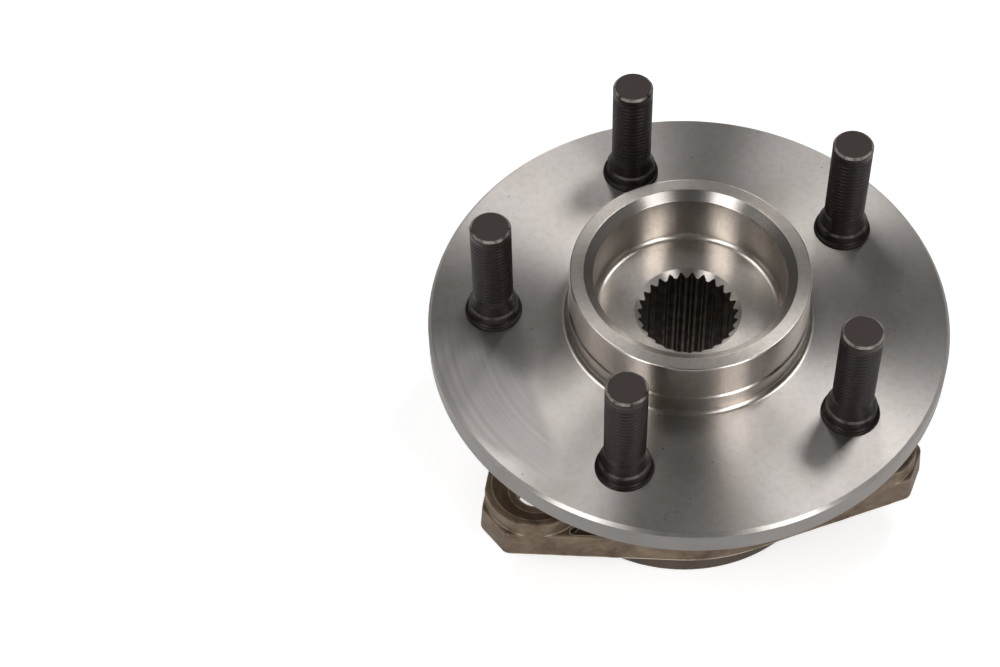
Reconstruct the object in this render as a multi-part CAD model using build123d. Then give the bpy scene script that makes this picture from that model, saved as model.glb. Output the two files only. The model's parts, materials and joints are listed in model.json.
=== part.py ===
"""Driven front wheel hub bearing, in millimetres.

A flanged hub with a splined bore turns on two rows of balls inside an outer ring, which
bolts to the steering knuckle by three forged lobes. The axis of rotation is Z, the origin
is the centre of the wheel's mounting face, and +Z points at the wheel.
"""

import os
from math import acos, atan2, cos, degrees, hypot, radians, sin

from build123d import *

# ---- wheel flange and its studs ----
flange_radius = 77.0
flange_thickness = 8.0
flange_edge_chamfer = 1.0
flange_back_chamfer = 0.3
stud_count = 5
stud_circle_radius = 57.5
first_stud_angle = 31.25
stud_thread_radius = 6.0
stud_reach = 38.8  # tip above the mounting face
stud_tip_chamfer = 0.8
stud_collar_radius = 7.4
stud_collar_height = 4.1
stud_collar_round = 0.6
stud_neck_height = 3.4
stud_foot_radius = 8.38  # low step that the collar stands on
stud_foot_height = 1.0
stud_foot_slope = 0.5
stud_knurl_radius = 8.5  # pressed into the flange, under the foot
stud_head_radius = 10.8
stud_head_thickness = 4.0
stud_head_chamfer = 0.6

# ---- pilots that centre the brake disc and the wheel ----
pilot_height = 20.3
wheel_pilot_radius = 35.05
pilot_lead_in = 0.4
brake_pilot_radius = 35.5
brake_pilot_height = 6.6
pilot_base_fillet = 1.7

# ---- recess for the axle nut ----
nut_recess_radius = 28.1
nut_recess_floor = 1.7  # above the mounting face
nut_recess_corner = 1.2
nut_recess_mouth_width = 2.9
nut_recess_mouth_depth = 2.0

# ---- splined bore for the drive shaft ----
spline_teeth = 27
spline_major_radius = 14.9
spline_minor_radius = 13.8
spline_groove_root = 0.4  # width of a groove at its bottom
spline_tooth_tip = 0.75  # width of a tooth at its crest
spline_lead_in_radius = 15.8
first_groove_angle = 0.0
shaft_entry_radius = 15.6
shaft_entry_length = 6.0
shaft_entry_chamfer = 1.0

# ---- rolling elements ----
ball_radius = 6.35
balls_per_row = 13
pitch_radius = 33.0
outboard_row_depth = 30.0  # below the mounting face
row_spacing = 24.5
shoulder_radius = 30.5  # ribs of the inner raceways, where the seals run
raceway_land_radius = 35.5  # rib between the two outer raceways
raceway_clearance = 0.05
counterbore_lip = 0.15  # how far the open side of a raceway stands over its bottom

# ---- cages ----
cage_thickness = 3.6
cage_rim = 1.2
cage_horn_length = 3.2
pocket_clearance = 0.12

# ---- hub spindle and pressed-on inner ring ----
neck_radius = 41.0
neck_depth = 13.5
neck_flare = 4.5
neck_round = 2.5
inner_ring_seat_radius = 21.0
inner_ring_front_depth = 42.75
inner_ring_back_depth = 69.5
inner_ring_chamfer = 0.8
spindle_setback = 1.0

# ---- outer ring ----
outer_ring_front_depth = 17.5
barrel_radius = 46.0
barrel_chamfer = 1.0
spigot_radius = 46.7
spigot_length = 20.0
spigot_chamfer = 1.2
knuckle_face_depth = 50.0
bore_chamfer = 0.5

# ---- three-lobed knuckle flange, a forging ----
lobe_count = 3
first_lobe_angle = 96.3
lobe_tip_radius = 75.2
lobe_tip_half_width = 6.2
lobe_tip_round = 3.5
flange_ledge_width = 8.7  # of the web round the barrel
flange_body_radius = barrel_radius + flange_ledge_width
web_thickness = 9.5
web_fillet = 2.5
web_landing = 0.5  # flat of the turned ring beyond that fillet
boss_height = 15.0
boss_radius = 15.6
forging_draft = 4.5
forging_edge_round = 0.5
knuckle_bolt_circle_radius = 58.0
knuckle_bolt_hole_radius = 6.2
knuckle_bolt_hole_chamfer = 0.8
dish_rim_radius = 13.4
dish_floor_radius = 8.6
dish_depth = 3.6
hollow_depth = 3.2
hollow_edge_width = 1.6
hollow_boss_gap = 1.0
hollow_barrel_gap = 3.0
hollow_half_angle = 27.0
hollow_corner = 1.2

# ---- seals ----
seal_steel = 0.8
seal_seat_clearance = 0.02  # each side of a pressed-in ring
seal_lip_clearance = 0.05
seal_axial_lip_gap = 0.3
outboard_seal_setback = 0.4
outboard_seal_width = 4.0
inboard_seal_setback = 1.0
inboard_seal_width = 5.8
seal_case_inner_radius = 34.2
seal_lip_width = 3.6
slinger_setback = 1.4
slinger_length = 4.2
slinger_radius = 37.9
encoder_inner_radius = 32.5
encoder_thickness = 0.8

# ---- worked out from the sizes above ----
outboard_row_z = -outboard_row_depth
inboard_row_z = outboard_row_z - row_spacing
raceway_radius = ball_radius + raceway_clearance
inner_counterbore_radius = pitch_radius - raceway_radius + counterbore_lip
outer_bore_radius = pitch_radius + raceway_radius - counterbore_lip
knuckle_face_z = -knuckle_face_depth
spigot_end_z = knuckle_face_z - spigot_length
web_top_z = knuckle_face_z + web_thickness
boss_top_z = knuckle_face_z + boss_height
inner_ring_front_z = -inner_ring_front_depth
inner_ring_back_z = -inner_ring_back_depth
seal_press_radius = outer_bore_radius - seal_seat_clearance
slinger_bore_radius = shoulder_radius + seal_seat_clearance
slinger_sleeve_radius = slinger_bore_radius + seal_steel
lobe_side_angle = degrees(
    atan2(lobe_tip_half_width, lobe_tip_radius)
    + acos(flange_body_radius / hypot(lobe_tip_radius, lobe_tip_half_width))
)


def polar(radius, angle, height=0.0):
    """Point at a radius and an angle in degrees about Z."""
    return Vector(radius * cos(radians(angle)), radius * sin(radians(angle)), height)


def around(count, first=0.0):
    """Angles of equally spaced features."""
    return [first + 360.0 * step / count for step in range(count)]


def ring(*corners):
    """Solid turned about Z from corners of (radius, height, rounding of that corner)."""
    points = [corner[:2] for corner in corners]
    outline = FilletPolyline(*points, radius=[corner[2] for corner in corners], close=True)
    return revolve(Plane.XZ * make_face(outline), Axis.Z)


def raceway(row_z):
    """Tool that grinds the groove of one row of balls."""
    return Pos(0, 0, row_z) * Torus(pitch_radius, raceway_radius)


def spline_tool():
    """Star-shaped prism that broaches the grooves between the teeth."""
    tooth_pitch = 360.0 / spline_teeth
    root = degrees(spline_groove_root / 2 / spline_major_radius)
    mouth = tooth_pitch / 2 - degrees(spline_tooth_tip / 2 / spline_minor_radius)
    points = []
    for groove in around(spline_teeth, first_groove_angle):
        points += [
            polar(spline_minor_radius, groove - mouth),
            polar(spline_major_radius, groove - root),
            polar(spline_major_radius, groove + root),
            polar(spline_minor_radius, groove + mouth),
        ]
    star = make_face(Polyline(*points, close=True))
    start_z = inner_ring_back_z
    return extrude(Pos(0, 0, start_z) * star, nut_recess_floor - start_z)


def hub_flange():
    """Forged and turned hub: wheel flange, pilots, splined bore, raceway and spindle."""
    lead_in = spline_lead_in_radius - spline_minor_radius
    spindle_end_z = inner_ring_back_z + spindle_setback
    entry_step = shaft_entry_radius - spline_minor_radius
    pilot_step = brake_pilot_radius - wheel_pilot_radius
    flange_back_z = -flange_thickness
    hub = ring(
        (spline_minor_radius, nut_recess_floor - lead_in, 0),
        (spline_lead_in_radius, nut_recess_floor, 0),
        (nut_recess_radius, nut_recess_floor, nut_recess_corner),
        (nut_recess_radius, pilot_height - nut_recess_mouth_depth, 0),
        (nut_recess_radius + nut_recess_mouth_width, pilot_height, 0),
        (wheel_pilot_radius - pilot_lead_in, pilot_height, 0),
        (wheel_pilot_radius, pilot_height - pilot_lead_in, 0),
        (wheel_pilot_radius, brake_pilot_height + pilot_step, 0),
        (brake_pilot_radius, brake_pilot_height, 0),
        (brake_pilot_radius, 0, pilot_base_fillet),
        (flange_radius - flange_edge_chamfer, 0, 0),
        (flange_radius, -flange_edge_chamfer, 0),
        (flange_radius, flange_back_z + flange_back_chamfer, 0),
        (flange_radius - flange_back_chamfer, flange_back_z, 0),
        (neck_radius + neck_flare, flange_back_z, neck_round),
        (neck_radius, -neck_depth, neck_round / 2),
        (shoulder_radius, -neck_depth, neck_round),
        (shoulder_radius, outboard_row_z, 0),
        (inner_counterbore_radius, outboard_row_z, 0),
        (inner_counterbore_radius, inner_ring_front_z, 0),
        (inner_ring_seat_radius, inner_ring_front_z, 0),
        (inner_ring_seat_radius, spindle_end_z + inner_ring_chamfer, 0),
        (inner_ring_seat_radius - inner_ring_chamfer, spindle_end_z, 0),
        (shaft_entry_radius + shaft_entry_chamfer, spindle_end_z, 0),
        (shaft_entry_radius, spindle_end_z + shaft_entry_chamfer, 0),
        (shaft_entry_radius, spindle_end_z + shaft_entry_length, 0),
        (spline_minor_radius, spindle_end_z + shaft_entry_length + entry_step, 0),
    )
    hub -= raceway(outboard_row_z)
    hub -= spline_tool()
    for angle in around(stud_count, first_stud_angle):
        hole = Cylinder(stud_knurl_radius, flange_thickness, align=(Align.CENTER, Align.CENTER, Align.MAX))
        hub -= Pos(polar(stud_circle_radius, angle)) * hole
    return hub


def wheel_stud(angle):
    """Stud pressed in from behind: head, knurled shank, foot, collar, neck and thread's body."""
    collar_top = stud_collar_height + stud_collar_round
    neck_foot = stud_collar_radius - stud_collar_round
    head_bottom = -flange_thickness - stud_head_thickness
    stud = ring(
        (0, stud_reach, 0),
        (stud_thread_radius - stud_tip_chamfer, stud_reach, 0),
        (stud_thread_radius, stud_reach - stud_tip_chamfer, 0),
        (stud_thread_radius, collar_top + stud_neck_height, stud_neck_height / 2),
        (neck_foot, collar_top, 0),
        (stud_collar_radius, stud_collar_height, 0),
        (stud_collar_radius, stud_foot_height + stud_foot_slope, 0),
        (stud_foot_radius, stud_foot_height, 0),
        (stud_foot_radius, 0, 0),
        (stud_knurl_radius, 0, 0),
        (stud_knurl_radius, -flange_thickness, 0),
        (stud_head_radius, -flange_thickness, 0),
        (stud_head_radius, head_bottom + stud_head_chamfer, 0),
        (stud_head_radius - stud_head_chamfer, head_bottom, 0),
        (0, head_bottom, 0),
    )
    return Pos(polar(stud_circle_radius, angle)) * stud


def inner_ring():
    """Ring pressed on the spindle, with the inboard raceway and the rib for the seal."""
    nose = inner_counterbore_radius - inner_ring_chamfer
    ring_body = ring(
        (inner_ring_seat_radius, inner_ring_front_z, 0),
        (nose, inner_ring_front_z, 0),
        (inner_counterbore_radius, inner_ring_front_z - inner_ring_chamfer, 0),
        (inner_counterbore_radius, inboard_row_z, 0),
        (shoulder_radius, inboard_row_z, 0),
        (shoulder_radius, inner_ring_back_z + inner_ring_chamfer, 0),
        (shoulder_radius - inner_ring_chamfer, inner_ring_back_z, 0),
        (inner_ring_seat_radius, inner_ring_back_z, 0),
    )
    return ring_body - raceway(inboard_row_z)


def ball(row_z, angle):
    """One ball, at rest in its pocket."""
    return Pos(polar(pitch_radius, angle, row_z)) * Sphere(ball_radius)


def cage(row_z, side):
    """Snap-in cage: a rim on one side of the balls and horns between them.

    side is +1 when the rim is on the wheel's side of the row, or -1 on the other.
    """
    pocket_radius = ball_radius + pocket_clearance
    inner = pitch_radius - cage_thickness / 2
    outer = pitch_radius + cage_thickness / 2
    rim_z = row_z + side * (pocket_radius + cage_rim)
    horn_z = row_z - side * cage_horn_length
    body = ring((inner, rim_z, 0), (outer, rim_z, 0), (outer, horn_z, 0), (inner, horn_z, 0))
    for angle in around(balls_per_row):
        body -= Pos(polar(pitch_radius, angle, row_z)) * Sphere(pocket_radius)
    return body


def lobed_outline():
    """Knuckle flange in plan: lobes cut off square, with straight sides tangent to a disc."""
    edges = []
    for axis in around(lobe_count, first_lobe_angle):
        turn = Rot(0, 0, axis)
        start = polar(flange_body_radius, axis - lobe_side_angle)
        corner = turn * Pos(lobe_tip_radius, -lobe_tip_half_width)
        far_corner = turn * Pos(lobe_tip_radius, lobe_tip_half_width)
        end = polar(flange_body_radius, axis + lobe_side_angle)
        middle = polar(flange_body_radius, axis + 180.0 / lobe_count)
        next_start = polar(flange_body_radius, axis + 360.0 / lobe_count - lobe_side_angle)
        edges += [
            Line(start, corner.position),
            Line(corner.position, far_corner.position),
            Line(far_corner.position, end),
            ThreePointArc(end, middle, next_start),
        ]
    outline = make_face(edges)
    tips = [v for v in outline.vertices() if hypot(v.X, v.Y) > (flange_body_radius + lobe_tip_radius) / 2]
    return fillet(tips, lobe_tip_round)


def web_hollows():
    """Shallow pockets in the web, one on each side of every boss."""
    reach = lobe_tip_radius / cos(radians(hollow_half_angle))
    fan = make_face(Polyline((0, 0), polar(reach, -hollow_half_angle), polar(reach, hollow_half_angle), close=True))
    boss = Pos(knuckle_bolt_circle_radius, 0) * Circle(boss_radius + hollow_boss_gap)
    barrel = Circle(barrel_radius + hollow_barrel_gap)
    inside = offset(Rot(0, 0, -first_lobe_angle) * lobed_outline(), -hollow_edge_width)
    pockets = [face for face in (fan & inside - boss - barrel).faces() if face.center().X < lobe_tip_radius - boss_radius]
    return [fillet(Sketch([face]).vertices(), hollow_corner) for face in pockets]


def rounded_slab(outline, height):
    """Forging of a given height with drafted sides and a worn upper edge."""
    slab = extrude(outline, height, taper=forging_draft)
    return fillet(slab.edges().group_by(Axis.Z)[-1], forging_edge_round)


def knuckle_boss(angle):
    """Raised boss round one knuckle bolt, trimmed by the lobe's drafted sides."""
    up = (Align.CENTER, Align.CENTER, Align.MIN)
    lobes = extrude(Pos(0, 0, knuckle_face_z) * lobed_outline(), boss_height, taper=forging_draft)
    centre = Pos(polar(knuckle_bolt_circle_radius, angle, knuckle_face_z))
    boss = lobes & centre * Cylinder(boss_radius, boss_height, align=up)
    return fillet(boss.edges().group_by(Axis.Z)[-1], forging_edge_round)


def knuckle_flange():
    """Forged web with a raised boss on each lobe, drilled and dished for the knuckle bolts."""
    up = (Align.CENTER, Align.CENTER, Align.MIN)
    down = (Align.CENTER, Align.CENTER, Align.MAX)
    lead = knuckle_bolt_hole_radius + knuckle_bolt_hole_chamfer
    hollows = web_hollows()
    flange = rounded_slab(Pos(0, 0, knuckle_face_z) * lobed_outline(), web_thickness)
    for angle in around(lobe_count, first_lobe_angle):
        top = Pos(polar(knuckle_bolt_circle_radius, angle, boss_top_z))
        bottom = Pos(polar(knuckle_bolt_circle_radius, angle, knuckle_face_z))
        for hollow in hollows:
            flange -= extrude(Pos(0, 0, web_top_z) * Rot(0, 0, angle) * hollow, -hollow_depth)
        flange += knuckle_boss(angle)
        flange -= top * Cone(dish_floor_radius, dish_rim_radius, dish_depth, align=down)
        flange -= bottom * Cylinder(knuckle_bolt_hole_radius, boss_height, align=up)
        flange -= bottom * Cone(lead, knuckle_bolt_hole_radius, knuckle_bolt_hole_chamfer, align=up)
    return flange


def outer_ring():
    """Outer ring: barrel, both outer raceways, knuckle flange and the spigot for the knuckle."""
    mouth = outer_bore_radius + bore_chamfer
    front_z = -outer_ring_front_depth
    inside_web = barrel_radius + web_fillet + web_landing
    barrel = ring(
        (outer_bore_radius, front_z - bore_chamfer, 0),
        (mouth, front_z, 0),
        (barrel_radius - barrel_chamfer, front_z, 0),
        (barrel_radius, front_z - barrel_chamfer, 0),
        (barrel_radius, web_top_z, web_fillet),
        (inside_web, web_top_z, 0),
        (inside_web, knuckle_face_z, 0),
        (spigot_radius, knuckle_face_z, 0),
        (spigot_radius, spigot_end_z + spigot_chamfer, 0),
        (spigot_radius - spigot_chamfer, spigot_end_z, 0),
        (mouth, spigot_end_z, 0),
        (outer_bore_radius, spigot_end_z + bore_chamfer, 0),
        (outer_bore_radius, inboard_row_z, 0),
        (raceway_land_radius, inboard_row_z, 0),
        (raceway_land_radius, outboard_row_z, 0),
        (outer_bore_radius, outboard_row_z, 0),
    )
    clearance_bore = Pos(0, 0, knuckle_face_z) * Cylinder(raceway_land_radius + ball_radius, 2 * boss_height)
    lobes = knuckle_flange() - clearance_bore
    return barrel + lobes - raceway(outboard_row_z) - raceway(inboard_row_z)


def outboard_seal_case():
    """Steel L-ring pressed into the outer ring's wheel side."""
    front_z = -outer_ring_front_depth - outboard_seal_setback
    back_z = front_z - outboard_seal_width
    return ring(
        (seal_press_radius, front_z, 0),
        (seal_press_radius, back_z, 0),
        (seal_case_inner_radius, back_z, 0),
        (seal_case_inner_radius, back_z + seal_steel, 0),
        (seal_press_radius - seal_steel, back_z + seal_steel, 0),
        (seal_press_radius - seal_steel, front_z, 0),
    )


def outboard_seal_lip():
    """Rubber bonded to the case, with one lip on the hub's rib and one on its neck."""
    seat_z = -outer_ring_front_depth - outboard_seal_setback - outboard_seal_width + seal_steel
    tip_z = -neck_depth - seal_axial_lip_gap
    rib = shoulder_radius + seal_lip_clearance
    heel = seal_case_inner_radius + seal_lip_width - seal_steel
    return ring(
        (heel, seat_z, 0),
        (seal_case_inner_radius, seat_z, 0),
        (rib, seat_z + 2 * seal_steel, 0),
        (rib, seat_z + 2.5 * seal_steel, 0),
        (seal_case_inner_radius, seat_z + 2 * seal_steel, 0),
        (seal_case_inner_radius + 2 * seal_steel, tip_z, 0),
        (seal_case_inner_radius + 2.8 * seal_steel, tip_z, 0),
        (seal_case_inner_radius + 2 * seal_steel, seat_z + 2 * seal_steel, 0),
        (heel, seat_z + seal_steel, 0),
    )


def inboard_seal_case():
    """Steel L-ring pressed into the spigot's mouth."""
    back_z = spigot_end_z + inboard_seal_setback
    front_z = back_z + inboard_seal_width
    return ring(
        (seal_press_radius, back_z, 0),
        (seal_press_radius, front_z, 0),
        (seal_case_inner_radius, front_z, 0),
        (seal_case_inner_radius, front_z - seal_steel, 0),
        (seal_press_radius - seal_steel, front_z - seal_steel, 0),
        (seal_press_radius - seal_steel, back_z, 0),
    )


def slinger_flange_z():
    """Height of the slinger's face that the inboard lips run on."""
    return spigot_end_z + slinger_setback + seal_steel


def inboard_seal_lip():
    """Rubber bonded to the inboard case, with one lip on the slinger's sleeve and one on its flange."""
    seat_z = spigot_end_z + inboard_seal_setback + inboard_seal_width - seal_steel
    tip_z = slinger_flange_z() + seal_axial_lip_gap
    sleeve = slinger_sleeve_radius + seal_lip_clearance
    heel = seal_case_inner_radius + seal_lip_width - seal_steel
    return ring(
        (heel, seat_z, 0),
        (seal_case_inner_radius, seat_z, 0),
        (sleeve, seat_z - 1.5 * seal_steel, 0),
        (sleeve, seat_z - 2 * seal_steel, 0),
        (seal_case_inner_radius, seat_z - 1.5 * seal_steel, 0),
        (seal_case_inner_radius + 1.5 * seal_steel, tip_z, 0),
        (seal_case_inner_radius + 2.3 * seal_steel, tip_z, 0),
        (seal_case_inner_radius + 1.8 * seal_steel, seat_z - 1.5 * seal_steel, 0),
        (heel, seat_z - seal_steel, 0),
    )


def inboard_slinger():
    """Stainless L-ring pressed on the inner ring; it turns inside the inboard seal."""
    inner_z = slinger_flange_z()
    outer_z = inner_z - seal_steel
    sleeve_top_z = outer_z + slinger_length
    return ring(
        (slinger_bore_radius, sleeve_top_z, 0),
        (slinger_sleeve_radius, sleeve_top_z, 0),
        (slinger_sleeve_radius, inner_z, 0),
        (slinger_radius, inner_z, 0),
        (slinger_radius, outer_z, 0),
        (slinger_bore_radius, outer_z, 0),
    )


def encoder_ring():
    """Magnetic rubber ring on the slinger, read by a wheel-speed sensor in the knuckle."""
    seat_z = slinger_flange_z() - seal_steel
    return ring(
        (encoder_inner_radius, seat_z, 0),
        (slinger_radius, seat_z, 0),
        (slinger_radius, seat_z - encoder_thickness, 0),
        (encoder_inner_radius, seat_z - encoder_thickness, 0),
    )


parts = {
    "hub_flange": hub_flange(),
    "inner_ring": inner_ring(),
    "outer_ring": outer_ring(),
    "cage_outboard": cage(outboard_row_z, 1),
    "cage_inboard": cage(inboard_row_z, -1),
    "outboard_seal_case": outboard_seal_case(),
    "outboard_seal_lip": outboard_seal_lip(),
    "inboard_seal_case": inboard_seal_case(),
    "inboard_seal_lip": inboard_seal_lip(),
    "inboard_slinger": inboard_slinger(),
    "encoder_ring": encoder_ring(),
}
for number, stud_angle in enumerate(around(stud_count, first_stud_angle), start=1):
    parts[f"wheel_stud_{number}"] = wheel_stud(stud_angle)
for number, ball_angle in enumerate(around(balls_per_row), start=1):
    parts[f"outboard_ball_{number}"] = ball(outboard_row_z, ball_angle)
    parts[f"inboard_ball_{number}"] = ball(inboard_row_z, ball_angle)

os.makedirs("parts", exist_ok=True)
for node, shape in parts.items():
    export_step(shape, f"parts/{node}.step")
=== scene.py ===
"""Driven wheel hub bearing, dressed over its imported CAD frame.

The hub and its studs are rebuilt as fine surfaces of revolution, the studs with rolled threads.
Everything else keeps its CAD shape and gets a finish. Lengths below are in millimetres.
"""

import json
from math import acos, atan2, cos, degrees, pi, radians, sin, sqrt, tan

import bmesh
import bpy
import numpy as np
from mathutils import Matrix


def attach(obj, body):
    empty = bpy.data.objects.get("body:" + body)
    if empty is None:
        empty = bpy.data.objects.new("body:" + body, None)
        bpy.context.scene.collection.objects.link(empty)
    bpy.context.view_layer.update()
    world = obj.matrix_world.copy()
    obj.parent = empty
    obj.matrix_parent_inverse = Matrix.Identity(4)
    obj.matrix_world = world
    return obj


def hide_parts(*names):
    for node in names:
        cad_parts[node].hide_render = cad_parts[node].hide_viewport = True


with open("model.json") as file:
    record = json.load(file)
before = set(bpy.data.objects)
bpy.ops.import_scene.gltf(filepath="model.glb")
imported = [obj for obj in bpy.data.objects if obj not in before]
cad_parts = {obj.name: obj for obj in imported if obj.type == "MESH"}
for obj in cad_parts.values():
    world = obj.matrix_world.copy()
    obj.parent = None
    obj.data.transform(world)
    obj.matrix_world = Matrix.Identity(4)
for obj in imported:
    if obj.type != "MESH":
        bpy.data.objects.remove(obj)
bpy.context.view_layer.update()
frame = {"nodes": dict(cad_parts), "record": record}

MM = 0.001

# ---- hub: the same sizes as its solid ----
FLANGE_RADIUS = 77.0
FLANGE_THICKNESS = 8.0
FLANGE_EDGE = 1.0
FLANGE_BACK_EDGE = 0.3
PILOT_HEIGHT = 20.3
WHEEL_PILOT_RADIUS = 35.05
BRAKE_PILOT_RADIUS = 35.5
BRAKE_PILOT_HEIGHT = 6.6
PILOT_BASE_FILLET = 1.7
RECESS_RADIUS = 28.1
RECESS_FLOOR = 1.7
MOUTH_WIDTH = 2.9
MOUTH_DEPTH = 2.0
SPLINE_TEETH = 27
SPLINE_MAJOR = 14.9
SPLINE_MINOR = 13.8
GROOVE_ROOT = 0.4
TOOTH_TIP = 0.75
FIRST_GROOVE = 0.0
LEAD_IN_RADIUS = 15.8
NECK_RADIUS = 41.0
NECK_DEPTH = 13.5
NECK_FLARE = 4.5
NECK_ROUND = 2.5
SPINDLE_END = -68.5
SPINDLE_CHAMFER = 0.8
SHAFT_ENTRY_RADIUS = 15.6
SHAFT_ENTRY_CHAMFER = 1.0
SHAFT_ENTRY_TOP = -62.5
SHOULDER_RADIUS = 30.5
BALL_ROW = -30.0
BALL_CIRCLE = 33.0
RACEWAY_RADIUS = 6.4
COUNTERBORE_RADIUS = 26.75
INNER_RING_FRONT = -42.75
INNER_RING_SEAT = 21.0

# ---- hub: rounding of edges and corners, as worn ----
RECESS_CORNER = 2.0
PILOT_EDGE = 0.5
WORN_EDGE = 0.3

# ---- wheel studs, M12 x 1.5 ----
STUD_CIRCLE = 57.5
STUD_ANGLES = [31.25 + 72.0 * step for step in range(5)]
STUD_REACH = 38.8
THREAD_RADIUS = 6.0
THREAD_PITCH = 1.5
THREAD_DEPTH = 0.3
THREAD_TOP = 37.9
THREAD_FOOT = 9.2
THREAD_ROWS_PER_PITCH = 10
STUD_TIP_FLAT = 5.2
STUD_NECK_TOP = 8.1
STUD_NECK_ROUND = 1.7
STUD_COLLAR_RADIUS = 7.4
STUD_COLLAR_TOP = 4.7
STUD_COLLAR_ROUND = 0.6
STUD_FOOT_RADIUS = 8.38
STUD_FOOT_TOP = 1.0
STUD_STEP_TOP = 1.3
STUD_STEP_ROUND = 0.9
STUD_KNURL_RADIUS = 8.5
STUD_HEAD_RADIUS = 10.8
STUD_HEAD_BOTTOM = -12.0
STUD_HEAD_CHAMFER = 0.6
STUD_COLUMNS = 72

RESTING_HEIGHT = -70.1  # floor, 0.1 under the end of the spigot
SHARP_ANGLE = 24.0  # degrees
ARC_STEP = 9.0  # degrees
EDGE_GUARD = 0.06


# ---------------------------------------------------------------- surfaces


def outline(*corners):
    """Polyline through corners of (radius, height, rounding), each rounded by a tangent arc.

    An arc of radius R at a corner that turns by t starts R*tan(t/2) before it. Long straight
    runs get a point EDGE_GUARD from each end, so smooth shading stays inside the arcs.
    """
    points = []
    count = len(corners)
    for index, (r, z, rounding) in enumerate(corners):
        here = np.array((r, z), float)
        before = np.array(corners[(index - 1) % count][:2], float) - here
        after = np.array(corners[(index + 1) % count][:2], float) - here
        if rounding == 0:
            points.append(here[None])
            continue
        u, v = before / np.linalg.norm(before), after / np.linalg.norm(after)
        half = acos(float(np.clip(u @ v, -1, 1))) / 2
        centre = here + (u + v) / np.linalg.norm(u + v) * rounding / sin(half)
        start = here + u * rounding / tan(half) - centre
        end = here + v * rounding / tan(half) - centre
        sweep = atan2(start[0] * end[1] - start[1] * end[0], start @ end)
        steps = np.linspace(0, sweep, max(3, int(abs(sweep) / radians(ARC_STEP)) + 1))
        arc = np.stack((start[0] * np.cos(steps) - start[1] * np.sin(steps),
                        start[0] * np.sin(steps) + start[1] * np.cos(steps)), 1)
        points.append(arc + centre)
    path = np.concatenate(points)
    run = np.diff(path, axis=0)
    length = np.linalg.norm(run, axis=1)
    long = length > 8 * EDGE_GUARD
    unit = run / np.maximum(length, 1e-9)[:, None]
    near = path[:-1][long] + unit[long] * EDGE_GUARD
    far = path[1:][long] - unit[long] * EDGE_GUARD
    after_corner = np.flatnonzero(long)
    place = np.concatenate((np.arange(len(path)), after_corner + 0.3, after_corner + 0.6))
    return np.concatenate((path, near, far))[np.argsort(place, kind="stable")]


def turned(rings, angles):
    """Grid of points r(s, a), z(s, a) swept about Z: x = r cos a, y = r sin a."""
    r, z = rings
    a = np.broadcast_to(angles, r.shape)
    return np.stack((r * np.cos(a), r * np.sin(a), np.broadcast_to(z, r.shape)), -1)


def mesh_piece(name, grid, materials, rows_of=None, close_rows=False, centre=(0.0, 0.0)):
    """Mesh over a grid of points in mm, joined round in its second direction.

    close_rows also joins the last row to the first. Otherwise the end rows lie on the axis
    and close as fans. rows_of gives the material number of each row of faces.
    """
    rows, columns = grid.shape[:2]
    co = grid.reshape(-1, 3) * MM
    co[:, :2] += np.array(centre) * MM
    spans = rows if close_rows else rows - 1
    row = np.arange(spans)[:, None]
    column = np.arange(columns)[None, :]
    upper, lower = row * columns, ((row + 1) % rows) * columns
    right = (column + 1) % columns
    faces = np.stack((upper + column, lower + column, lower + right, upper + right), -1).reshape(-1, 4)
    mesh = bpy.data.meshes.new(name)
    mesh.from_pydata(co.tolist(), [], faces.tolist())
    if rows_of is not None:
        mesh.polygons.foreach_set("material_index", np.repeat(rows_of, columns).astype(np.int32))
    mesh.polygons.foreach_set("use_smooth", np.ones(len(faces), bool))
    for material in materials:
        mesh.materials.append(material)
    piece = bpy.data.objects.new(name, mesh)
    bpy.context.scene.collection.objects.link(piece)
    return piece


def tidy_mesh(piece):
    """Merges doubled points, turns the faces outwards and marks creases sharper than SHARP_ANGLE."""
    work = bmesh.new()
    work.from_mesh(piece.data)
    bmesh.ops.remove_doubles(work, verts=work.verts, dist=1e-7)
    bmesh.ops.dissolve_degenerate(work, edges=work.edges, dist=1e-7)
    bmesh.ops.recalc_face_normals(work, faces=work.faces)
    work.to_mesh(piece.data)
    work.free()
    piece.data.set_sharp_from_angle(angle=radians(SHARP_ANGLE))
    return piece


# ---------------------------------------------------------------- finishes


def tone(hex_code):
    """Linear RGBA of an sRGB hex colour."""
    channel = [int(hex_code[i:i + 2], 16) / 255 for i in (0, 2, 4)]
    return tuple(c / 12.92 if c <= 0.04045 else ((c + 0.055) / 1.055) ** 2.4 for c in channel) + (1.0,)


def add(tree, kind, settings=None, links=None):
    """Adds one shader node, with its properties or inputs set and its inputs linked."""
    made = tree.nodes.new("ShaderNode" + kind)
    for key, value in (settings or {}).items():
        if isinstance(key, str) and hasattr(made, key):
            setattr(made, key, value)
        else:
            made.inputs[key].default_value = value
    for key, source in (links or {}).items():
        tree.links.new(source, made.inputs[key])
    return made


def finish(name, **sockets):
    """New material with one Principled shader, its constants set on the sockets."""
    material = bpy.data.materials.new(name)
    material.use_nodes = True
    tree = material.node_tree
    shader = tree.nodes["Principled BSDF"]
    for key, value in sockets.items():
        shader.inputs[key.replace("_", " ")].default_value = value
    return material, tree, shader


def tint(tree, shader, mask, hex_code):
    """Lays a colour over what feeds the shader's base colour, where the mask is 1."""
    under = shader.inputs["Base Color"].links[0].from_socket
    mixed = add(tree, "Mix", {"data_type": "RGBA", 7: tone(hex_code)}, {0: mask, 6: under})
    tree.links.new(mixed.outputs[2], shader.inputs["Base Color"])


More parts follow.
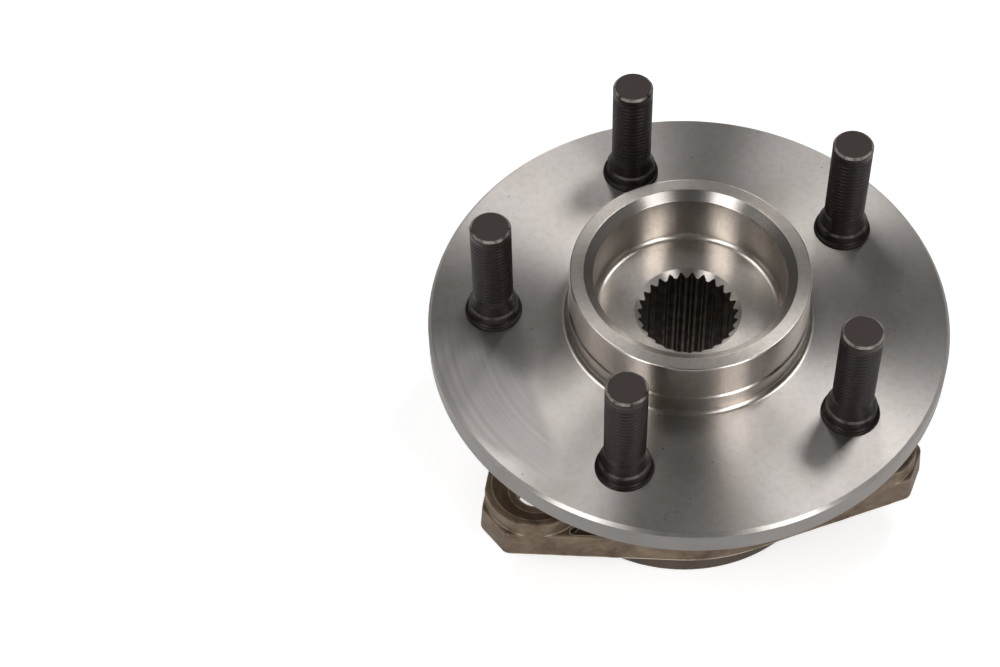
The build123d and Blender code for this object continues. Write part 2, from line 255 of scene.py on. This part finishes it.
def turned_steel(name, tones, roughness, grain_share, film, ring_pitch, ring_height):
    """Medium-carbon steel turned on a lathe: grooves round Z spread each highlight across them.

    tones are the dark, middle and light colours between which an oil film drifts, film is its
    size in mm, and ring_pitch and ring_height draw the feed marks, coarser than the real 0.2 mm.
    """
    material, tree, shader = finish(name, Metallic=1.0, Roughness=roughness,
                                    Anisotropic=grain_share, Anisotropic_Rotation=0.25)
    place = add(tree, "TexCoord").outputs["Object"]
    parts = add(tree, "SeparateXYZ", links={0: place}).outputs
    back = add(tree, "Math", {"operation": "MULTIPLY", 1: -1.0}, {0: parts["Y"]}).outputs[0]
    round_axis = add(tree, "CombineXYZ", {"Z": 0.0}, {"X": back, "Y": parts["X"]}).outputs[0]
    groove = add(tree, "VectorTransform", {"vector_type": "VECTOR", "convert_from": "OBJECT",
                                           "convert_to": "WORLD"}, {0: round_axis}).outputs[0]
    unit = add(tree, "VectorMath", {"operation": "NORMALIZE"}, {0: groove}).outputs[0]
    tree.links.new(unit, shader.inputs["Tangent"])

    drift = add(tree, "TexNoise", {"Scale": 1 / (film * MM), "Detail": 4.0, "Roughness": 0.6},
                {"Vector": place})
    colour = add(tree, "ValToRGB", links={0: drift.outputs[0]})
    ramp = colour.color_ramp
    ramp.elements.new(0.5)
    for stop, position, hex_code in zip(ramp.elements, (0.3, 0.5, 0.7), tones):
        stop.position, stop.color = position, tone(hex_code)
    tree.links.new(colour.outputs[0], shader.inputs["Base Color"])

    flat = add(tree, "CombineXYZ", {"Z": 0.0}, {"X": parts["X"], "Y": parts["Y"]}).outputs[0]
    radius = add(tree, "VectorMath", {"operation": "LENGTH"}, {0: flat}).outputs["Value"]
    level = add(tree, "CombineXYZ", {"Y": 0.0}, {"X": radius, "Z": parts["Z"]}).outputs[0]
    feed = add(tree, "TexNoise", {"Scale": 1 / (ring_pitch * MM), "Detail": 1.0}, {"Vector": level})
    bump = add(tree, "Bump", {"Strength": 1.0, "Distance": ring_height * MM}, {"Height": feed.outputs[0]})
    tree.links.new(bump.outputs[0], shader.inputs["Normal"])
    return material


def handled(material, stain_size, stain_share, scratch_share, pit_spacing, pit_size, pit_colour):
    """Marks of handling on bare steel: oil stains, fine straight scratches in patches, small pits.

    A stain is where cloudy noise is high. A scratch is noise stretched 40 to 1 and cut near its
    peaks, in three directions. A pit is a small disc about each centre of a cell pattern. Sizes
    are in mm, and the scratches are drawn coarser than the real 0.1 mm.
    """
    tree = material.node_tree
    shader = tree.nodes["Principled BSDF"]
    place = add(tree, "TexCoord").outputs["Object"]
    cloud = add(tree, "TexNoise", {"Scale": 1 / (stain_size * MM), "Detail": 5.0, "Roughness": 0.7},
                {"Vector": place})
    stain = add(tree, "MapRange", {"From Min": 0.46, "From Max": 0.7, "To Max": stain_share},
                {"Value": cloud.outputs[0]})
    tint(tree, shader, stain.outputs[0], "8f8471")
    patch = add(tree, "TexNoise", {"Scale": 1 / (22 * MM), "Detail": 2.0}, {"Vector": place})
    lightly = add(tree, "MapRange", {"From Min": 0.5, "From Max": 0.65, "To Max": scratch_share},
                  {"Value": patch.outputs[0]})
    length, width = 16 * MM, 0.4 * MM
    for turn in (0.5, 1.3, 2.6):  # radians
        grid = add(tree, "Mapping", {"vector_type": "TEXTURE", "Rotation": (0, 0, turn),
                                     "Scale": (length, width, length)}, {"Vector": place})
        line = add(tree, "TexNoise", {"Scale": 1.0, "Detail": 0.0}, {"Vector": grid.outputs[0]})
        cut = add(tree, "MapRange", {"From Min": 0.74, "From Max": 0.82}, {"Value": line.outputs[0]})
        share = add(tree, "Math", {"operation": "MULTIPLY"}, {0: cut.outputs[0], 1: lightly.outputs[0]})
        tint(tree, shader, share.outputs[0], "e9e6e3")
    cells = add(tree, "TexVoronoi", {"Scale": 1 / (pit_spacing * MM)}, {"Vector": place})
    spread = pit_size / pit_spacing
    pit = add(tree, "MapRange", {"From Min": spread, "From Max": spread / 2, "To Max": 0.8},
              {"Value": cells.outputs["Distance"]})
    tint(tree, shader, pit.outputs[0], pit_colour)


def rubbed_patch(material, centre, bearing, half_length, half_width):
    """Lens on the face rubbed dull by hand, where the grooves are blunted: paler and rougher.

    The mask falls from 1 to 0 across the edge of a wobbled ellipse, given in mm and degrees.
    """
    tree = material.node_tree
    shader = tree.nodes["Principled BSDF"]
    place = add(tree, "TexCoord").outputs["Object"]
    turned_in = add(tree, "Mapping", {"vector_type": "TEXTURE", "Rotation": (0, 0, radians(bearing)),
                                      "Location": (centre[0] * MM, centre[1] * MM, 0),
                                      "Scale": (half_length * MM, half_width * MM, 1)}, {"Vector": place})
    reach = add(tree, "VectorMath", {"operation": "LENGTH"}, {0: turned_in.outputs[0]})
    wobble = add(tree, "TexNoise", {"Scale": 1 / (20 * MM), "Detail": 1.0}, {"Vector": place})
    edge = add(tree, "Math", {"operation": "MULTIPLY_ADD", 1: 0.7},
               {0: wobble.outputs[0], 2: reach.outputs["Value"]})
    mask = add(tree, "MapRange", {"interpolation_type": "SMOOTHSTEP", "From Min": 1.55, "From Max": 1.05},
               {"Value": edge.outputs[0]})
    unrubbed = shader.inputs["Roughness"].default_value
    rough = add(tree, "Math", {"operation": "MULTIPLY_ADD", 1: 0.22, 2: unrubbed}, {0: mask.outputs[0]})
    tree.links.new(rough.outputs[0], shader.inputs["Roughness"])
    flat = add(tree, "VectorMath", {"operation": "MULTIPLY", 1: (1, 1, 0)}, {0: place})
    radius = add(tree, "VectorMath", {"operation": "LENGTH"}, {0: flat.outputs[0]}).outputs["Value"]
    level = add(tree, "CombineXYZ", {"Y": 0.0, "Z": 0.0}, {"X": radius}).outputs[0]
    arcs = add(tree, "TexNoise", {"Scale": 1 / (1.3 * MM), "Detail": 1.0}, {"Vector": level})
    strength = add(tree, "MapRange", {"From Min": 0.35, "From Max": 0.65, "To Min": 0.6, "To Max": 0.95},
                   {"Value": arcs.outputs[0]})
    share = add(tree, "Math", {"operation": "MULTIPLY"}, {0: mask.outputs[0], 1: strength.outputs[0]})
    tint(tree, shader, share.outputs[0], "f3edea")


def black_phosphate():
    """Black manganese phosphate on rolled studs: a satin brown-black crystal coat.

    It is rubbed pale in places round the tip's chamfer and, less, round the collar's shoulder, partly as wear
    and partly as painted highlight. The tip's flat is dusty.
    """
    material, tree, shader = finish("black_phosphate", Metallic=0.1, Roughness=0.42, Specular_IOR_Level=0.28,
                                    Specular_Tint=tone("fff1ea"), Coat_Weight=0.08, Coat_Roughness=0.22)
    place = add(tree, "TexCoord").outputs["Object"]
    patch = add(tree, "TexNoise", {"Scale": 1 / (3.0 * MM), "Detail": 4.0, "Roughness": 0.65},
                {"Vector": place})
    colour = add(tree, "ValToRGB", links={0: patch.outputs[0]})
    colour.color_ramp.elements[0].position, colour.color_ramp.elements[0].color = 0.35, tone("0d0807")
    colour.color_ramp.elements[1].position, colour.color_ramp.elements[1].color = 0.72, tone("1b1211")
    tree.links.new(colour.outputs[0], shader.inputs["Base Color"])
    height = add(tree, "SeparateXYZ", links={0: place}).outputs["Z"]
    tip = STUD_REACH * MM
    end = add(tree, "MapRange", {"From Min": tip - 0.1 * MM, "From Max": tip, "To Max": 0.7},
              {"Value": height})
    tint(tree, shader, end.outputs[0], "403836")
    # Pale bands on the tip's chamfer and the collar's shoulder: partly wear, partly painted highlight.
    tip_edge = add(tree, "Math", {"operation": "COMPARE", 1: tip - 0.35 * MM, 2: 0.3 * MM}, {0: height})
    collar = STUD_COLLAR_TOP * MM
    collar_edge = add(tree, "Math", {"operation": "COMPARE", 1: collar - 0.25 * MM, 2: 0.3 * MM}, {0: height})
    edge = add(tree, "Math", {"operation": "MULTIPLY_ADD", 1: 0.3},
               {0: collar_edge.outputs[0], 2: tip_edge.outputs[0]})
    worn_and_painted_highlight = add(tree, "MapRange", {"From Min": 0.35, "From Max": 0.6, "To Max": 0.8},
               {"Value": patch.outputs[0]})
    share = add(tree, "Math", {"operation": "MULTIPLY"}, {0: edge.outputs[0], 1: worn_and_painted_highlight.outputs[0]})
    tint(tree, shader, share.outputs[0], "9a938d")
    crystal = add(tree, "TexNoise", {"Scale": 1 / (0.5 * MM), "Detail": 1.0}, {"Vector": place})
    bump = add(tree, "Bump", {"Strength": 0.6, "Distance": 0.02 * MM}, {"Height": crystal.outputs[0]})
    tree.links.new(bump.outputs[0], shader.inputs["Normal"])
    return material


def clouded(name, tones, cloud_size, skin_pitch, skin_height, **sockets):
    """Even finish: its colour drifts between two tones over cloud_size, on a fine bumpy skin, in mm."""
    material, tree, shader = finish(name, **sockets)
    place = add(tree, "TexCoord").outputs["Object"]
    cloud = add(tree, "TexNoise", {"Scale": 1 / (cloud_size * MM), "Detail": 3.0}, {"Vector": place})
    colour = add(tree, "ValToRGB", links={0: cloud.outputs[0]})
    for stop, position, hex_code in zip(colour.color_ramp.elements, (0.35, 0.65), tones):
        stop.position, stop.color = position, tone(hex_code)
    tree.links.new(colour.outputs[0], shader.inputs["Base Color"])
    skin = add(tree, "TexNoise", {"Scale": 1 / (skin_pitch * MM), "Detail": 1.0}, {"Vector": place})
    bump = add(tree, "Bump", {"Strength": 1.0, "Distance": skin_height * MM}, {"Height": skin.outputs[0]})
    tree.links.new(bump.outputs[0], shader.inputs["Normal"])
    return material


def forged_steel():
    """Hot-forged carbon steel, shot-blasted: brown scale in a pitted skin, pale along its edges, partly as
    wear and partly as painted highlight.

    An edge is where a normal averaged over 0.9 mm leans away from the surface's own. Hollows,
    which their surroundings shade within 6 mm, are painted darker as painted shade, and the
    inboard end is painted darker as painted shade too, darker towards the bottom.
    """
    material, tree, shader = finish("forged_steel", Metallic=0.4, Roughness=0.6)
    place = add(tree, "TexCoord").outputs["Object"]
    scale = add(tree, "TexNoise", {"Scale": 1 / (9.0 * MM), "Detail": 6.0, "Roughness": 0.68},
                {"Vector": place})
    colour = add(tree, "ValToRGB", links={0: scale.outputs[0]})
    colour.color_ramp.elements[0].position, colour.color_ramp.elements[0].color = 0.33, tone("443123")
    colour.color_ramp.elements[1].position, colour.color_ramp.elements[1].color = 0.7, tone("786753")
    tree.links.new(colour.outputs[0], shader.inputs["Base Color"])
    height = add(tree, "SeparateXYZ", links={0: place}).outputs["Z"]
    # Painted shade: the colour darkens towards the bottom of the spigot, where less light falls.
    shade_start, shade_full = -48 * MM, -56 * MM
    painted_low_shade = add(tree, "MapRange", {"From Min": shade_start, "From Max": shade_full, "To Max": 0.8}, {"Value": height})
    tint(tree, shader, painted_low_shade.outputs[0], "35281f")
    # Painted shade: the occlusion mask darkens hollows in place of the shade that falls in them.
    open_air = add(tree, "AmbientOcclusion", {"samples": 8, "Distance": 6 * MM}).outputs["AO"]
    painted_hollow_shade = add(tree, "MapRange", {"From Min": 0.75, "From Max": 0.35, "To Max": 0.75}, {"Value": open_air})
    tint(tree, shader, painted_hollow_shade.outputs[0], "33261c")
    # Pale edges: partly wear, partly painted highlight in place of rounded edges catching the light.
    own = add(tree, "NewGeometry").outputs["Normal"]
    rounded = add(tree, "Bevel", {"samples": 8, "Radius": 0.9 * MM}).outputs[0]
    lean = add(tree, "VectorMath", {"operation": "DOT_PRODUCT"}, {0: own, 1: rounded}).outputs["Value"]
    edge = add(tree, "MapRange", {"From Min": 0.995, "From Max": 0.93, "To Max": 0.85}, {"Value": lean})
    rubbed = add(tree, "MapRange", {"From Min": 0.36, "From Max": 0.52}, {"Value": scale.outputs[0]})
    share = add(tree, "Math", {"operation": "MULTIPLY"}, {0: edge.outputs[0], 1: rubbed.outputs[0]})
    tint(tree, shader, share.outputs[0], "c4b8a5")
    skin = add(tree, "TexNoise", {"Scale": 1 / (0.9 * MM), "Detail": 3.0, "Roughness": 0.7},
               {"Vector": place})
    bump = add(tree, "Bump", {"Strength": 0.8, "Distance": 0.12 * MM}, {"Height": skin.outputs[0]})
    tree.links.new(bump.outputs[0], shader.inputs["Normal"])
    return material


# Turned face: fan-shaped sectors of light round the axis, oil stains, hair scratches, brown pits.
BARE_TONES = ("c1bab4", "c8c2be", "ccc6c4")
face_steel = turned_steel("face_turned_steel", BARE_TONES, 0.41, 0.97, 26.0, 0.9, 0.006)
handled(face_steel, 2.2, 0.22, 0.2, 5.5, 0.36, "6d5c4e")
rubbed_patch(face_steel, (-59.0, -28.5), -60.0, 30.0, 11.0)
# Pilot and recess: finer cut and brighter, with sharper bands and small pale nicks.
PILOT_TONES = ("beb6ad", "c6bfb8", "ccc5c0")
pilot_steel = turned_steel("pilot_turned_steel", PILOT_TONES, 0.29, 0.7, 18.0, 0.6, 0.004)
handled(pilot_steel, 1.6, 0.3, 0.3, 1.6, 0.2, "e4e0dc")
# Mouth chamfer: one clean cut that flashes as a thin ring.
chamfer_steel = turned_steel("chamfer_turned_steel", PILOT_TONES, 0.26, 0.7, 18.0, 0.6, 0.002)
# Rim: a coarser cut, greyer and darker than the face: painted shade, a darker copy of the turned steel
# against the light the bright floor throws on its side.
rim_steel_painted_shade = turned_steel("rim_turned_steel_painted_shade", ("75716e", "7d7976", "827e7b"), 0.4, 0.7, 18.0, 0.9, 0.006)
# Broached teeth: dull brown-grey flanks with cutting oil left in them.
broached_steel = clouded("broached_steel", ("5c5249", "766c63"), 3.0, 0.4, 0.004,
                         Metallic=1.0, Roughness=0.42)
# Studs: brown-black, with pale edges, partly wear and partly painted highlight, that pick them out against
# the bright face.
phosphate = black_phosphate()
# Outer ring: matt brown scale that sets off the turned hub.
forging = forged_steel()
# Ground and honed steel: near mirror, with a faint haze.
bearing_steel = clouded("ground_bearing_steel", ("c2c2c0", "cececc"), 4.0, 0.3, 0.0004,
                        Metallic=1.0, Roughness=0.16)
# Pressed sheet: satin grey with a slight orange peel.
seal_steel = clouded("pressed_seal_steel", ("aeaba6", "c1beb9"), 6.0, 0.7, 0.006,
                     Metallic=1.0, Roughness=0.3)
# Moulded rubbers: matt near-black, dusted paler in places.
seal_rubber = clouded("nitrile_rubber", ("191818", "252423"), 2.5, 0.35, 0.01, Roughness=0.55)
encoder_rubber = clouded("magnetic_encoder_rubber", ("252220", "322f2c"), 2.5, 0.35, 0.008, Roughness=0.5)
# Moulded polyamide: dark, with the pale flecks of its glass fibre.
cage_polyamide = clouded("glass_filled_polyamide", ("252527", "323234"), 0.8, 0.25, 0.008, Roughness=0.45)

FINISHES = {
    "turned_steel": face_steel, "phosphated_steel": phosphate, "forged_steel": forging,
    "bearing_steel": bearing_steel, "cage_polymer": cage_polyamide, "seal_steel": seal_steel,
    "seal_rubber": seal_rubber, "encoder_rubber": encoder_rubber,
}
for subpart in frame["record"]["subparts"]:
    for slot in frame["nodes"][subpart["node"]].material_slots:
        slot.material = FINISHES[subpart["material_slot"]]


# ---------------------------------------------------------------- hub


def spline_angles():
    """Angles in radians, and radii, of the bore's columns: eight for each groove.

    They stand at the mouth's two corners, halfway down both flanks, at the root's corners and
    middle, and at the middle of the next tooth's crest.
    """
    tooth = 360.0 / SPLINE_TEETH
    root = degrees(GROOVE_ROOT / 2 / SPLINE_MAJOR)
    mouth = tooth / 2 - degrees(TOOTH_TIP / 2 / SPLINE_MINOR)
    flank = (mouth + root) / 2
    halfway = (SPLINE_MINOR + SPLINE_MAJOR) / 2
    corner = np.array((-mouth, -flank, -root, 0, root, flank, mouth, tooth / 2))
    bore = np.array((SPLINE_MINOR, halfway, SPLINE_MAJOR, SPLINE_MAJOR,
                     SPLINE_MAJOR, halfway, SPLINE_MINOR, SPLINE_MINOR))
    turns = np.arange(SPLINE_TEETH)[:, None] * tooth + FIRST_GROOVE
    return np.radians((turns + corner[None]).ravel()), np.tile(bore, SPLINE_TEETH)


def hub_outline():
    """Half section of the hub, from the spline's lead-in over the wheel side down to the shaft entry."""
    back = -FLANGE_THICKNESS
    step = BRAKE_PILOT_RADIUS - WHEEL_PILOT_RADIUS
    groove_top = BALL_ROW + sqrt(RACEWAY_RADIUS ** 2 - (BALL_CIRCLE - SHOULDER_RADIUS) ** 2)
    start = atan2(groove_top - BALL_ROW, SHOULDER_RADIUS - BALL_CIRCLE)
    end = 2 * pi - acos((COUNTERBORE_RADIUS - BALL_CIRCLE) / RACEWAY_RADIUS)
    sweep = np.linspace(start, end, 14)
    raceway = [(BALL_CIRCLE + RACEWAY_RADIUS * cos(a), BALL_ROW + RACEWAY_RADIUS * sin(a), 0) for a in sweep]
    return outline(
        (LEAD_IN_RADIUS, RECESS_FLOOR, 0),
        (RECESS_RADIUS, RECESS_FLOOR, RECESS_CORNER),
        (RECESS_RADIUS, PILOT_HEIGHT - MOUTH_DEPTH, WORN_EDGE),
        (RECESS_RADIUS + MOUTH_WIDTH, PILOT_HEIGHT, WORN_EDGE),
        (WHEEL_PILOT_RADIUS, PILOT_HEIGHT, PILOT_EDGE),
        (WHEEL_PILOT_RADIUS, BRAKE_PILOT_HEIGHT + step, 0),
        (BRAKE_PILOT_RADIUS, BRAKE_PILOT_HEIGHT, 0),
        (BRAKE_PILOT_RADIUS, 0, PILOT_BASE_FILLET),
        (FLANGE_RADIUS - FLANGE_EDGE, 0, WORN_EDGE),
        (FLANGE_RADIUS, -FLANGE_EDGE, WORN_EDGE),
        (FLANGE_RADIUS, back + FLANGE_BACK_EDGE, 0),
        (FLANGE_RADIUS - FLANGE_BACK_EDGE, back, 0),
        (NECK_RADIUS + NECK_FLARE, back, NECK_ROUND),
        (NECK_RADIUS, -NECK_DEPTH, NECK_ROUND / 2),
        (SHOULDER_RADIUS, -NECK_DEPTH, NECK_ROUND),
        *raceway,
        (COUNTERBORE_RADIUS, INNER_RING_FRONT, 0),
        (INNER_RING_SEAT, INNER_RING_FRONT, 0),
        (INNER_RING_SEAT, SPINDLE_END + SPINDLE_CHAMFER, 0),
        (INNER_RING_SEAT - SPINDLE_CHAMFER, SPINDLE_END, 0),
        (SHAFT_ENTRY_RADIUS + SHAFT_ENTRY_CHAMFER, SPINDLE_END, 0),
        (SHAFT_ENTRY_RADIUS, SPINDLE_END + SHAFT_ENTRY_CHAMFER, 0),
        (SHAFT_ENTRY_RADIUS, SHAFT_ENTRY_TOP, 0),
    )


def turned_hub():
    """Hub as one closed grid: the half section swept about Z, then the splined bore.

    The bore's wall is r(a), a trapezium wave of 27 grooves. It meets the 45 degree lead-in
    cones where the cone's radius equals r(a), so z = floor - (lead-in radius - r(a)).
    """
    angles, bore = spline_angles()
    section = hub_outline()
    r = np.repeat(section[:, 0:1], len(angles), 1)
    z = np.repeat(section[:, 1:2], len(angles), 1)
    low = SHAFT_ENTRY_TOP + (SHAFT_ENTRY_RADIUS - bore)
    high = RECESS_FLOOR - (LEAD_IN_RADIUS - bore)
    climb = np.array((0.0, 0.01, 0.5, 0.99, 1.0))[:, None]
    r = np.concatenate((r, np.repeat(bore[None], len(climb), 0)))
    z = np.concatenate((z, low + (high - low) * climb))

    finishes = (face_steel, pilot_steel, broached_steel, rim_steel_painted_shade, chamfer_steel)
    face, pilot, broached, rim, chamfer = range(len(finishes))
    middle_r, middle_z = ((section[:-1] + section[1:]) / 2).T
    outside = np.full(len(middle_r), face)
    outside[(middle_r < BRAKE_PILOT_RADIUS + PILOT_BASE_FILLET) & (middle_z > 0)] = pilot
    margin = 0.1
    outside[(middle_r > FLANGE_RADIUS - margin) & (middle_z < -FLANGE_EDGE)] = rim
    half_mouth = MOUTH_DEPTH / 2
    in_mouth = abs(middle_z - PILOT_HEIGHT + half_mouth) < half_mouth - margin
    outside[(middle_r < RECESS_RADIUS + MOUTH_WIDTH - margin) & in_mouth] = chamfer
    rows_of = np.concatenate((outside, np.full(len(climb), broached), (face,)))
    piece = mesh_piece("turned_hub", turned((r, z), angles), finishes, rows_of, close_rows=True)
    return tidy_mesh(piece)


def wheel_stud(number, angle):
    """Stud pressed in from behind, with a rolled thread.

    The thread is r = R - d*g(f)*fade(z): f is the part of a turn z/pitch - a/2pi, and g is a V
    with a narrow crest and a blunt root. fade drops to nothing over two pitches at the top and
    one at the foot. d is a third of a real thread's, so its lines stay faint in the dark coat.
    """
    a = np.linspace(0, 2 * pi, STUD_COLUMNS, endpoint=False)[None]
    tip = STUD_REACH
    # The tip is a flat and a 45 degree chamfer, with a small bevel on each edge of the chamfer.
    upper = np.array(((0.0, tip), (2.5, tip), (5.0, tip), (STUD_TIP_FLAT, tip),
                      (STUD_TIP_FLAT + 0.12, tip - 0.1),
                      (THREAD_RADIUS - 0.06, tip - 0.72), (THREAD_RADIUS, tip - 0.85)))
    lower = outline((THREAD_RADIUS, THREAD_FOOT - 0.1, 0),
                    (THREAD_RADIUS, STUD_NECK_TOP, STUD_NECK_ROUND),
                    (STUD_COLLAR_RADIUS - STUD_COLLAR_ROUND, STUD_COLLAR_TOP, 0),
                    (STUD_COLLAR_RADIUS, STUD_COLLAR_TOP - STUD_COLLAR_ROUND, 0),
                    (STUD_COLLAR_RADIUS, STUD_STEP_TOP, STUD_STEP_ROUND),
                    (STUD_FOOT_RADIUS, STUD_FOOT_TOP, WORN_EDGE),
                    (STUD_FOOT_RADIUS, 0.0, 0),
                    (STUD_KNURL_RADIUS, 0.0, 0),
                    (STUD_KNURL_RADIUS, -FLANGE_THICKNESS, 0),
                    (STUD_HEAD_RADIUS, -FLANGE_THICKNESS, 0),
                    (STUD_HEAD_RADIUS, STUD_HEAD_BOTTOM + STUD_HEAD_CHAMFER, 0),
                    (STUD_HEAD_RADIUS - STUD_HEAD_CHAMFER, STUD_HEAD_BOTTOM, 0),
                    (0.0, STUD_HEAD_BOTTOM, 0))
    count = int((THREAD_TOP - THREAD_FOOT) / THREAD_PITCH * THREAD_ROWS_PER_PITCH)
    thread_z = np.linspace(THREAD_TOP, THREAD_FOOT, count)[:, None]
    fade = np.clip(np.minimum((THREAD_TOP - thread_z) / 2, thread_z - THREAD_FOOT) / THREAD_PITCH, 0, 1)
    turn = (thread_z / THREAD_PITCH - a / (2 * pi)) % 1.0
    valley = np.clip((0.5 - np.abs(turn - 0.5)) / 0.4 - 0.1, 0, 1)
    blunt = 0.94
    thread_r = THREAD_RADIUS - THREAD_DEPTH * np.minimum(valley, blunt) / blunt * fade
    r = np.concatenate((np.repeat(upper[:, 0:1], STUD_COLUMNS, 1), thread_r,
                        np.repeat(lower[:, 0:1], STUD_COLUMNS, 1)))
    levels = np.concatenate((upper[:, 1:2], thread_z, lower[:, 1:2]))
    z = np.repeat(levels, STUD_COLUMNS, 1)
    centre = (STUD_CIRCLE * cos(radians(angle)), STUD_CIRCLE * sin(radians(angle)))
    piece = mesh_piece(f"threaded_stud_{number}", turned((r, z), a), (phosphate,), centre=centre)
    tidy_mesh(piece)
    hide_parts(f"wheel_stud_{number}")
    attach(piece, "hub_assembly")


hub = turned_hub()
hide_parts("hub_flange")
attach(hub, "hub_assembly")
for number, angle in enumerate(STUD_ANGLES, start=1):
    wheel_stud(number, angle)


# ---------------------------------------------------------------- camera, floor and lights


def put_camera():
    """Camera of 85.5 mm focal length on a 36 mm frame, 0.7 m away and 53.5 degrees above the face.

    It stands 56 mm left of the hub's axis, so the hub is right of the picture's middle.
    """
    rise, roll = radians(53.469), radians(-2.414)
    aside, lower, distance = 55.773, 3.481, 703.021
    right = np.array((1.0, 0.0, 0.0))
    up = np.array((0.0, sin(rise), cos(rise)))
    back = np.array((0.0, -cos(rise), sin(rise)))
    spot = (distance * back - aside * right - lower * up) * MM
    across = cos(roll) * right + sin(roll) * up
    upright = -sin(roll) * right + cos(roll) * up
    data = bpy.data.cameras.new("studio_camera")
    data.sensor_width = 36.0
    data.lens = 85.524
    data.clip_start, data.clip_end = 0.05, 50.0
    camera = bpy.data.objects.new("studio_camera", data)
    bpy.context.scene.collection.objects.link(camera)
    turn = Matrix((across, upright, back)).transposed().to_4x4()
    turn.translation = spot
    camera.matrix_world = turn
    bpy.context.scene.camera = camera


def put_floor():
    """White sweep that the spigot stands on."""
    half = 20.0  # metres
    height = RESTING_HEIGHT * MM
    corners = [(x * half, y * half, height) for x, y in ((-1, -1), (1, -1), (1, 1), (-1, 1))]
    mesh = bpy.data.meshes.new("studio_floor")
    mesh.from_pydata(corners, [], [(0, 1, 2, 3)])
    floor = bpy.data.objects.new("studio_floor", mesh)
    paper = finish("white_sweep", Base_Color=tone("f7f7f7"), Roughness=0.9,
                   Emission_Color=tone("ffffff"), Emission_Strength=0.5)[0]
    mesh.materials.append(paper)
    bpy.context.scene.collection.objects.link(floor)


def softbox(name, bearing, climb, size, watts):
    """White rectangular softbox 1 m from the hub and aimed at it, its size in metres.

    bearing is its angle about Z from +X and climb its angle above the face, in degrees.
    """
    data = bpy.data.lights.new(name, "AREA")
    data.shape = "RECTANGLE"
    data.size, data.size_y = size
    data.energy = watts
    lamp = bpy.data.objects.new(name, data)
    bpy.context.scene.collection.objects.link(lamp)
    level, height = radians(bearing), radians(climb)
    away = np.array((cos(height) * cos(level), cos(height) * sin(level), sin(height)))
    across = np.array((-sin(level), cos(level), 0.0))
    turn = Matrix((across, np.cross(away, across), away)).transposed().to_4x4()
    turn.translation = away
    lamp.matrix_world = turn


put_camera()
put_floor()
softbox("left_softbox", -132.5, 33, (0.31, 1.1), 4.6)
softbox("right_softbox", -55, 30, (0.32, 0.9), 4.9)
softbox("left_top_softbox", 135, 65, (0.52, 0.17), 1.45)
softbox("right_top_softbox", 44.5, 61.5, (0.16, 0.25), 1.7)
softbox("left_back_strip", 94, 18.5, (0.27, 1.1), 1.7)
softbox("right_back_strip", 70, 19.5, (0.09, 0.97), 0.8)
world = bpy.data.worlds.new("studio_air")
world.use_nodes = True
air = world.node_tree.nodes["Background"]
air.inputs["Color"].default_value = tone("ffffff")
air.inputs["Strength"].default_value = 0.05
bpy.context.scene.world = world
bpy.context.scene.view_settings.view_transform = "Standard"
